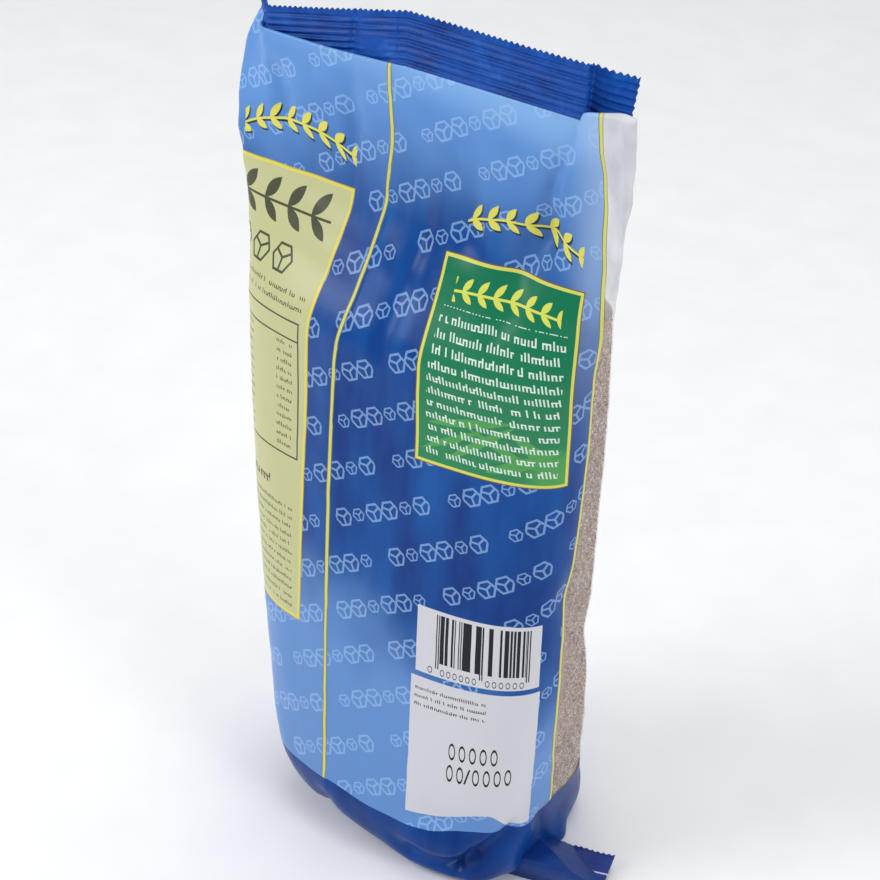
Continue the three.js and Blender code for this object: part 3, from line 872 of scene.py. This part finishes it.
def face_middles(mesh, label):
    """Middle of every face in the UV map of that label, in millimetres of film."""
    corners = np.empty(len(mesh.loops) * 2)
    mesh.uv_layers[label].data.foreach_get("uv", corners)
    starts = np.empty(len(mesh.polygons), int)
    counts = np.empty(len(mesh.polygons), int)
    mesh.polygons.foreach_get("loop_start", starts)
    mesh.polygons.foreach_get("loop_total", counts)
    return np.add.reduceat(corners.reshape(-1, 2) * UV_UNIT, starts) / counts[:, None]


STRIP_SLOT = 2
LINE_MIDDLE = 0.5
LOWEST_STRIP = -1.4
past_line = face_middles(film_mesh, "window")[:, 0]
past_band = face_middles(film_mesh, "edges")[:, 1]
in_strip = (past_line > -LINE_MIDDLE) & (past_line < WINDOW_WIDTH + LINE_MIDDLE) & (past_band > LOWEST_STRIP)
film_mesh.polygons.foreach_set("material_index", np.where(in_strip, STRIP_SLOT, 0))
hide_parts("pouch")
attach(film, "root")

# The top seal: both layers of the film pressed together between ribbed jaws and cut off in a zigzag. It
# is one flat strip, dark blue all over, creased at both ends.
RIDGES = 8.5
SEAL_COLUMNS = 600
SEAL_ROWS = 80
LAYERS = 0.7
SEAL_ROOT = -0.2
RIB_DEPTH = 0.34
LEFT_CREASE = 48
DENT_U = 56
DENT_HEIGHT = 6
RIGHT_CREASE = 134
seal_place = np.linspace(0.05, HALF_ROUND - 0.05, SEAL_COLUMNS)


def seal_face(side):
    rows = []
    tooth = np.abs((seal_place / TOOTH_PITCH) % 1 * 2 - 1)
    for k in range(SEAL_ROWS + 1):
        height = SEAL_ROOT + (CRIMP_HEIGHT - TOOTH_HEIGHT - SEAL_ROOT) * k / SEAL_ROWS
        last = max(0.0, (k - SEAL_ROWS + 3) / 3)
        high = height + TOOTH_HEIGHT * tooth * last
        wave = RIB_DEPTH * np.sin(2 * np.pi * RIDGES * height / CRIMP_HEIGHT)
        rubbed = 0.7 * smooth(47, 53, seal_place) * (1 - smooth(60, 66, seal_place))
        flat = 1 - rubbed * (1 - smooth(7, 14, height))
        wave = wave * flat * smooth(-0.5, 1.5, height) * (1 - smooth(15.2, 16.6, height) * 0.7)
        wave = wave * (1 + 0.35 * np.sin(seal_place / 6.3 + height))
        wave = wave + 0.5 * hill(seal_place - LEFT_CREASE - 0.2 * height, 1.6)
        wave = wave - 0.6 * hill(seal_place - DENT_U, 4) * hill(height - DENT_HEIGHT, 5)
        right_crease = hill(seal_place - RIGHT_CREASE - 0.35 * (17 - height), 1.2)
        wave = wave - 0.5 * right_crease * smooth(8, 13, height)
        wave = wave + 0.25 * np.sin(seal_place / 11 + 1) * smooth(0, 18, height)
        step = np.where(seal_place < 66, -0.15, 0.0)
        x, y, z = seal_point(seal_place, side * LAYERS / 2 + wave + step, high, 1.0)
        rows.append(np.stack([x, y, z], -1))
    return np.array(rows)


back_face, front_face = seal_face(-1), seal_face(1)
seal_points = np.concatenate([back_face, front_face[:, ::-1]], axis=1)
seal_round = np.concatenate([seal_place, TUBE_ROUND - seal_place[::-1], [TUBE_ROUND]])
seal_marks_u = np.tile(seal_round, (SEAL_ROWS + 1, 1))
seal_marks_z = np.tile(np.arange(SEAL_ROWS + 1.0)[:, None], (1, 2 * SEAL_COLUMNS + 1))
seal_mesh = grid_mesh("top_seal", seal_points, {"film": (seal_marks_u, seal_marks_z)})


def cap(mesh, rows, columns):
    """Closes the lower and upper ends of a flat strip by quads from face to face."""
    work = bmesh.new()
    work.from_mesh(mesh)
    work.verts.ensure_lookup_table()
    for row in (0, rows):
        for j in range(columns - 1):
            a = row * 2 * columns + j
            b = row * 2 * columns + 2 * columns - 1 - j
            work.faces.new([work.verts[i] for i in (a, a + 1, b - 1, b)])
    bmesh.ops.recalc_face_normals(work, faces=work.faces)
    work.to_mesh(mesh)
    work.free()
    for polygon in mesh.polygons:
        polygon.use_smooth = True


cap(seal_mesh, SEAL_ROWS, SEAL_COLUMNS)
top_seal = put_in_scene("top_seal", seal_mesh)
SEAL_BLUES = [(0.3, ink(0, 52, 132)), (0.6, ink(8, 76, 166)), (0.8, ink(38, 104, 194))]
crimped, crimped_shader, start = fresh_material("crimped film", IOR=1.5, Specular_IOR_Level=0.15,
                                                Coat_Weight=0.04, Coat_Roughness=0.2)
mottle = start.noise(start.place(), 120.0, 4.0, 0.6)
wire(crimped_shader, "Base Color", mottle.shades(SEAL_BLUES))
wire(crimped_shader, "Roughness", mottle.ramp(0.3, 0.8) * 0.2 + 0.34)
scuff = start.noise(start.place(), 900.0, 3.0)
wire(crimped_shader, "Normal", bump(start, mottle + scuff * 0.25, 0.0006, 0.6))
seal_mesh.materials.append(crimped)
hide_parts("pouch")
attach(top_seal, "root")

# The bottom seal: the same pressed strip, folded flat under the base to the front. Its right end is free
# and springs up a little beside the pouch, with a fold of the film's foot, the web, over its root.
EAR_TIP = (75.0 + SET_DOWN[0], 4.6 + SET_DOWN[1])
EAR_TURN = math.radians(12)
STRIP_WIDTH = 17.5
STRIP_LENGTH = 40.0
EAR_RISE = 4.2
WEB_EDGE = -16.5
WEB_SLANT = 1.4
WEB_STEP = 0.5
WEB_RISE = 0.42
EAR_FLOOR = 0.25
EAR_LAYERS = 0.5
EAR_RIB = 0.18
EAR_WAVE = 0.5
STRIP_ACROSS = 60
STRIP_ALONG = 160
strip_s = np.linspace(-STRIP_LENGTH, 0, STRIP_ALONG)


def ear_face(lift):
    rows = []
    tooth = np.abs((strip_s / TOOTH_PITCH) % 1 * 2 - 1)
    for k in range(STRIP_ACROSS + 1):
        share = k / STRIP_ACROSS
        last = max(0.0, (k - STRIP_ACROSS + 3) / 3)
        t = -STRIP_WIDTH * (1 - share) - TOOTH_HEIGHT * (1 - tooth) * last
        out = smooth(-0.75 * STRIP_LENGTH, -0.25 * STRIP_LENGTH, strip_s)
        under = WEB_EDGE + STRIP_WIDTH * (1 - share) * WEB_SLANT - strip_s
        webbed = smooth(0, 0.6, under)
        rib = EAR_RIB * np.sin(2 * np.pi * RIDGES * share) * smooth(0, 0.1, share) * (1 - webbed)
        z = EAR_FLOOR + lift + rib * (0.4 + 0.6 * out)
        z = z + EAR_RISE * out * share + EAR_WAVE * out * np.sin(strip_s / 4) * share
        z = z + (webbed * WEB_STEP + np.clip(under, 0, 18) * WEB_RISE) * (lift > 0)
        x = EAR_TIP[0] + strip_s * math.cos(EAR_TURN) - t * math.sin(EAR_TURN)
        y = EAR_TIP[1] + strip_s * math.sin(EAR_TURN) + t * math.cos(EAR_TURN)
        rows.append(np.stack([x, y, np.maximum(z, lift)], -1))
    return np.array(rows)


lower, upper = ear_face(0.0), ear_face(EAR_LAYERS)
ear_points = np.concatenate([upper, lower[:, ::-1]], axis=1)
ear_s = np.tile(np.concatenate([strip_s, strip_s[::-1], strip_s[:1]]), (STRIP_ACROSS + 1, 1))
ear_t = np.tile(np.linspace(0, STRIP_WIDTH, STRIP_ACROSS + 1)[:, None], (1, 2 * STRIP_ALONG + 1))
ear_mesh = grid_mesh("bottom_seal", ear_points, {"film": (ear_s, ear_t)})
cap(ear_mesh, STRIP_ACROSS, STRIP_ALONG)
bottom_seal = put_in_scene("bottom_seal", ear_mesh)
ear_film, ear_shader, start = fresh_material("bottom seal film", IOR=1.5, Specular_IOR_Level=0.3,
                                             Coat_Weight=0.1, Coat_Roughness=0.2)
along, across = (part * UV_UNIT for part in start.chart("film").parts())
webbed = (along - (STRIP_WIDTH - across) * WEB_SLANT) < WEB_EDGE
mottle = start.noise(start.place(), 120.0, 3.0)
deep = mottle.mottled(ink(20, 44, 118), ink(34, 62, 140))
deep = band(across, 8.8, 9.6).over(deep, ink(222, 206, 236))
deep = webbed.over(deep, mottle.mottled(ink(6, 48, 116), ink(14, 60, 136)))
wire(ear_shader, "Base Color", deep)
wire(ear_shader, "Roughness", mottle * 0.2 + 0.25)
wire(ear_shader, "Normal", bump(start, mottle, 0.0005, 0.5))
ear_mesh.materials.append(ear_film)
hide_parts("pouch")
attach(bottom_seal, "root")

# The sugar: soft brown sugar that fills the film to about three quarters of its height. It is seen through
# the clear strip only.
SUGAR_INSET = 0.75
SUGAR_TOP = 214.0
SUGAR_DRAWN = 3.5
SUGAR_SPINE = 30
SUGAR_OFF_FLOOR = 1.2
RISING_ROWS = 20
SUGAR_COLUMNS = 200
sugar_u = np.arange(SUGAR_COLUMNS) * TUBE_ROUND / SUGAR_COLUMNS
sugar_rows = film_rows(sugar_u, SUGAR_INSET, SUGAR_TOP, SUGAR_DRAWN)
heap = []
for share, rise in ((0.96, 0.8), (0.85, 2), (0.65, 3), (0.4, 3.6), (0.15, 4), (0.0, 4.1)):
    x, y, z, mark = sugar_rows[-1]
    middle_x = np.clip(x, -SUGAR_SPINE, SUGAR_SPINE)
    lumps = 0.8 * np.sin(sugar_u / 5) * share
    heap.append((middle_x + (x - middle_x) * share, y * share, z + rise + lumps, mark))
base = []
for share in (0.5, 0.0):
    x, y, z, mark = sugar_rows[0]
    middle_x = np.clip(x, -SUGAR_SPINE, SUGAR_SPINE)
    base.append((middle_x + (x - middle_x) * share, y * share, z, mark))
sugar_grid = [*reversed(base), *sugar_rows, *heap]
sugar_points = np.array([[x, y, z + SUGAR_OFF_FLOOR * (1 - min(k, RISING_ROWS) / RISING_ROWS)]
                         for k, (x, y, z, mark) in enumerate(sugar_grid)]).transpose(0, 2, 1)
sugar_z = np.array([np.append(row[3], row[3][0]) for row in sugar_grid])
sugar_marks = np.tile(np.append(sugar_u, TUBE_ROUND), (len(sugar_grid), 1))
sugar_mesh = grid_mesh("sugar", sugar_points, {"film": (sugar_marks, sugar_z)})
close_up(sugar_mesh)
sugar = put_in_scene("sugar", sugar_mesh)
brown, brown_shader, start = fresh_material("brown sugar", IOR=1.5)
where = start.place()
SPECK_SCALE = 1300.0
speck = start.add("ShaderNodeTexVoronoi", {"Vector": where, "Scale": SPECK_SCALE}, out=1)
tone = start.noise(where, 45.0, 3.0)
dark = tone.shades([(0.35, ink(138, 102, 78)), (0.65, ink(168, 134, 108))])
wire(brown_shader, "Base Color", (speck.parts()[0] * 0.5).over(dark, ink(200, 185, 166)))
wire(brown_shader, "Roughness", tone * 0.3 + 0.4)
cells = start.add("ShaderNodeTexVoronoi", {"Vector": where, "Scale": SPECK_SCALE})
wire(brown_shader, "Normal", bump(start, cells, 0.0005, 0.7))
sugar_mesh.materials.append(brown)
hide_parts("pouch")
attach(sugar, "root")

# Loose grains: the crystals of the sugar that lie against the clear strip, and a few that stick to the film
# above it. Each is a small brick of sugar, strewn over a bed that follows the film, so many of them to a
# square metre.
GRAIN_SIZE = 0.62 * MM
GRAIN_CROWD = 1.35e6
GRAIN_SEED = 4
TURN_SEED = 1
SIZE_SEED = 2
BED_LIFT = 0.05
BED_TOP = 264.0
STUCK_SHARE = 0.012
STUCK_U = 160
bed_u = np.arange(146.0, 187.0, 1.0)
bed_rows = film_rows(bed_u, SUGAR_INSET - BED_LIFT, BED_TOP)
bed_points = np.array([[row[0], row[1], row[2]] for row in bed_rows]).transpose(0, 2, 1)
bed_z = np.array([row[3] for row in bed_rows])
bed_count = len(bed_u)
bed_mesh = bpy.data.meshes.new("grain bed")
cells = [(k * bed_count + j, k * bed_count + j + 1, (k + 1) * bed_count + j + 1, (k + 1) * bed_count + j)
         for k in range(FOOT_STEPS + 6, len(bed_rows) - 1) for j in range(1, bed_count - 2)]
bed_mesh.from_pydata((bed_points.reshape(-1, 3) * MM).tolist(), [], cells)
crowd = bed_mesh.attributes.new("crowd", "FLOAT", "POINT")
high = bed_z.ravel()
stuck = STUCK_SHARE * smooth(225, 250, high) * (np.tile(bed_u, len(bed_rows)) < STUCK_U)
crowd.data.foreach_set("value", (1 - smooth(198, SUGAR_TOP, high)) * smooth(20, 26, high) + stuck)
bed = put_in_scene("sugar_grains", bed_mesh)
crystal, crystal_shader, start = fresh_material("sugar crystals", IOR=1.54, Roughness=0.35)
tint = start.add("ShaderNodeTexVoronoi", {"Vector": start.place(), "Scale": 1100.0}, out=1).parts()[0]
CRYSTAL_BROWNS = [(0.1, ink(124, 88, 62)), (0.5, ink(170, 138, 112)), (0.9, ink(226, 212, 196))]
wire(crystal_shader, "Base Color", tint.shades(CRYSTAL_BROWNS))
wire(crystal_shader, "Roughness", tint * 0.2 + 0.25)
strew = bpy.data.node_groups.new("strewn grains", "GeometryNodeTree")
strew.interface.new_socket("Bed", in_out="INPUT", socket_type="NodeSocketGeometry")
sizes = {name: strew.interface.new_socket(name, in_out="INPUT", socket_type="NodeSocketFloat").identifier
         for name in ("Crowd", "Grain size")}
strew.interface.new_socket("Grains", in_out="OUTPUT", socket_type="NodeSocketGeometry")
entry = strew.nodes.new("NodeGroupInput")
leave = strew.nodes.new("NodeGroupOutput")


def strew_node(kind, links, **settings):
    """A node of the tree, with its settings first and then the values or links of its sockets."""
    made = strew.nodes.new(kind)
    for name, setting in settings.items():
        setattr(made, name, setting)
    for key, value in links.items():
        if isinstance(value, bpy.types.NodeSocket):
            strew.links.new(value, made.inputs[key])
        else:
            made.inputs[key].default_value = value
    return made


crowd_here = strew_node("GeometryNodeInputNamedAttribute", {"Name": "crowd"}, data_type="FLOAT")
density = strew_node("ShaderNodeMath", {0: crowd_here.outputs[0], 1: entry.outputs["Crowd"]},
                     operation="MULTIPLY")
spots = strew_node("GeometryNodeDistributePointsOnFaces",
                   {"Mesh": entry.outputs["Bed"], "Density": density.outputs[0], "Seed": GRAIN_SEED})
brick = strew_node("GeometryNodeMeshCube", {"Size": (1.0, 0.75, 0.6)})
turn = strew_node("FunctionNodeRandomValue", {"Min": (0, 0, 0), "Max": (6.28, 6.28, 6.28), "Seed": TURN_SEED},
                  data_type="FLOAT_VECTOR")
spread = strew_node("FunctionNodeRandomValue", {2: 0.5, 3: 1.2, "Seed": SIZE_SEED}, data_type="FLOAT")
scale = strew_node("ShaderNodeMath", {0: spread.outputs[1], 1: entry.outputs["Grain size"]},
                   operation="MULTIPLY")
laid = strew_node("GeometryNodeInstanceOnPoints",
                  {"Points": spots.outputs["Points"], "Instance": brick.outputs["Mesh"],
                   "Rotation": turn.outputs[0], "Scale": scale.outputs[0]})
real = strew_node("GeometryNodeRealizeInstances", {"Geometry": laid.outputs["Instances"]})
inked = strew_node("GeometryNodeSetMaterial", {"Geometry": real.outputs[0], "Material": crystal})
strew.links.new(inked.outputs[0], leave.inputs[0])
strewn = bed.modifiers.new("strewn grains", "NODES")
strewn.node_group = strew
strewn[sizes["Crowd"]] = GRAIN_CROWD
strewn[sizes["Grain size"]] = GRAIN_SIZE
bpy.context.view_layer.update()
grown = bpy.data.meshes.new_from_object(bed.evaluated_get(bpy.context.evaluated_depsgraph_get()))
bed.modifiers.remove(strewn)
bed.data = grown
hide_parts("pouch")
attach(bed, "root")
